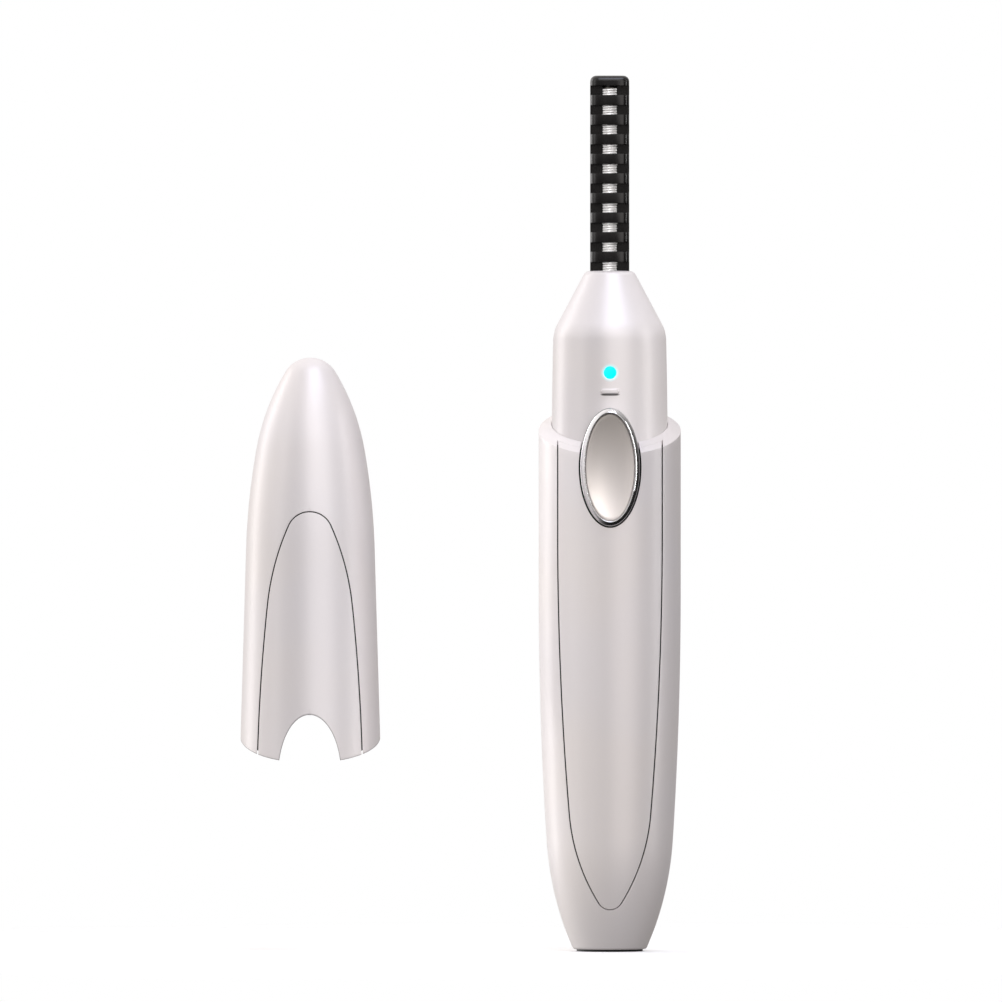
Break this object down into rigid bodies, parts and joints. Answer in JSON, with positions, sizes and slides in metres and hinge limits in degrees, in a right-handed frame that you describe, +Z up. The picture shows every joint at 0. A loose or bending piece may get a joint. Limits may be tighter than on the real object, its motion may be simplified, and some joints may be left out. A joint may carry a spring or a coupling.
{
  "type": "heated eyelash curler",
  "caption": "Upright heated eyelash curler wand with a black coil comb, an oval push button and a charging base, and its bullet-shaped cap standing off to the left.",
  "frame": {"origin": "centre of the wand's flat base face", "axes": "+Z up along the wand from base to comb tip, the button and light face -Y, the cap stands at -X"},
  "size_m": [0.0638, 0.0211, 0.1269],
  "materials": {
    "pearl_white": "satin pearl white",
    "pearl_panel": "satin pearl white, a shade warmer",
    "base_black": "matt black",
    "bright_chrome": "polished chrome plating",
    "button_pearl": "satin pearl white",
    "switch_black": "moulded black",
    "switch_cream": "moulded cream",
    "board_green": "green solder mask",
    "chip_black": "moulded black",
    "lamp": "clear cyan resin, lit",
    "light_cyan": "frosted light guide, lit cyan",
    "socket_steel": "nickel plated steel",
    "cell_blue": "shrunk plastic wrap",
    "tab_nickel": "nickel strip",
    "chassis_grey": "moulded light grey",
    "comb_black": "glossy heat-proof black",
    "seal_grey": "silicone",
    "core_ceramic": "fired ceramic",
    "coil_wire": "bright resistance wire",
    "lead_copper": "enamelled copper wire",
    "sensor_bead": "glass-like resin bead"
  },
  "bodies": {
    "wand": {"barrel_casing": "pearl_white", "front_panel": "pearl_panel", "neck_shell": "pearl_white", "base_plug": "base_black", "button_bezel": "bright_chrome", "switch_body": "switch_black", "circuit_board": "board_green", "control_chip": "chip_black", "charge_chip": "chip_black", "indicator_led": "lamp", "light_pipe": "light_cyan", "charge_socket": "socket_steel", "socket_tongue": "chip_black", "battery_cell": "cell_blue", "battery_tabs": "tab_nickel", "inner_chassis": "chassis_grey", "comb_guard": "comb_black", "comb_collar": "seal_grey", "heater_core": "core_ceramic", "heater_coil": "coil_wire", "heater_leads": "lead_copper", "heat_sensor": "sensor_bead"},
    "button": {"power_button": "button_pearl"},
    "plunger": {"switch_plunger": "switch_cream"},
    "cap": {"cap_shell": "pearl_white", "cap_front_panel": "pearl_panel"}
  },
  "joints": [
    {"name": "cap_lift", "type": "slide", "parent": "wand", "child": "cap", "axis": [0, 0, 1], "range_m": [0, 0.101]},
    {"name": "button_press", "type": "slide", "parent": "wand", "child": "button", "axis": [0, 1, 0], "range_m": [0, 0.0004]},
    {"name": "plunger_press", "type": "slide", "parent": "wand", "child": "plunger", "axis": [0, 1, 0], "range_m": [0, 0.0004]}
  ],
  "couplings": [
    {"joint": "plunger_press", "follows": "button_press", "ratio": 1}
  ]
}
